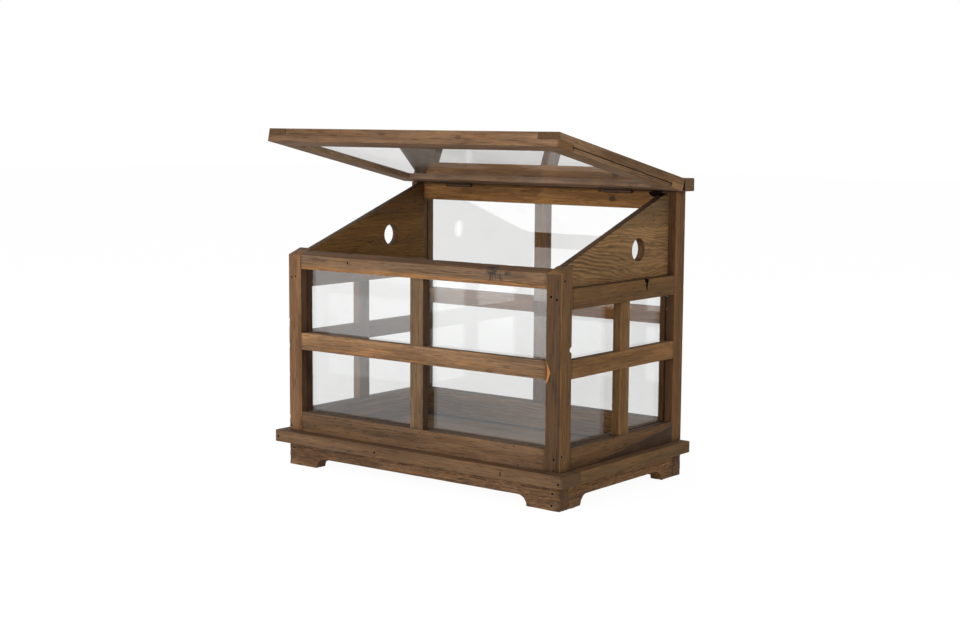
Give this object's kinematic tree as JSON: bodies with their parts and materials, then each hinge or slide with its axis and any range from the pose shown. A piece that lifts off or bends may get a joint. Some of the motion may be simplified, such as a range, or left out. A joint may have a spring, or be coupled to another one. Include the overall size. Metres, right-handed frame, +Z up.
{
  "type": "display cabinet",
  "caption": "Wooden display cabinet on a footed plinth, glazed on every side behind slim rails, with sloping side boards that have round vents, and a glazed lid hinged at the back.",
  "frame": {"origin": "middle of the four posts' footprint, on the ground under the feet", "axes": "+Z up, +X to the right seen from the front, front towards -Y"},
  "size_m": [0.532, 0.3438, 0.5064],
  "materials": {
    "wood": "worn oiled softwood",
    "glass": "clear",
    "hinge_steel": "dull",
    "nail_steel": "dark"
  },
  "bodies": {
    "cabinet": {"apron_front": "wood", "apron_left": "wood", "apron_nails": "nail_steel", "apron_rear": "wood", "apron_right": "wood", "back_bottom_rail": "wood", "back_glass": "glass", "back_middle_rail": "wood", "back_muntin": "wood", "back_top_rail": "wood", "base_strip_front": "wood", "base_strip_left": "wood", "base_strip_rear": "wood", "base_strip_right": "wood", "corner_block_front_left": "wood", "corner_block_front_right": "wood", "corner_block_rear_left": "wood", "corner_block_rear_right": "wood", "floor_panel": "wood", "front_bottom_rail": "wood", "front_glass": "glass", "front_middle_rail": "wood", "front_muntin": "wood", "front_top_rail": "wood", "hinge_screws_cabinet": "hinge_steel", "left_bottom_rail": "wood", "left_cheek": "wood", "left_glass": "glass", "left_hinge_leaf_cabinet": "hinge_steel", "left_hinge_pin": "hinge_steel", "left_middle_rail": "wood", "left_muntin": "wood", "left_top_rail": "wood", "post_front_left": "wood", "post_front_right": "wood", "post_nails": "nail_steel", "post_rear_left": "wood", "post_rear_right": "wood", "ridge_strip": "wood", "right_bottom_rail": "wood", "right_cheek": "wood", "right_glass": "glass", "right_hinge_leaf_cabinet": "hinge_steel", "right_hinge_pin": "hinge_steel", "right_middle_rail": "wood", "right_muntin": "wood", "right_top_rail": "wood", "strip_nails": "nail_steel"},
    "lid": {"hinge_screws_lid": "hinge_steel", "left_hinge_leaf_lid": "hinge_steel", "lid_front_rail": "wood", "lid_glass": "glass", "lid_glass_bead": "wood", "lid_left_stile": "wood", "lid_muntin": "wood", "lid_rear_rail": "wood", "lid_right_stile": "wood", "right_hinge_leaf_lid": "hinge_steel"}
  },
  "joints": [
    {"name": "lid_hinge", "type": "hinge", "parent": "cabinet", "child": "lid", "pos_m": [0, 0.1271, 0.417], "axis": [-1, 0, 0], "range_deg": [-31.78, 0]}
  ]
}
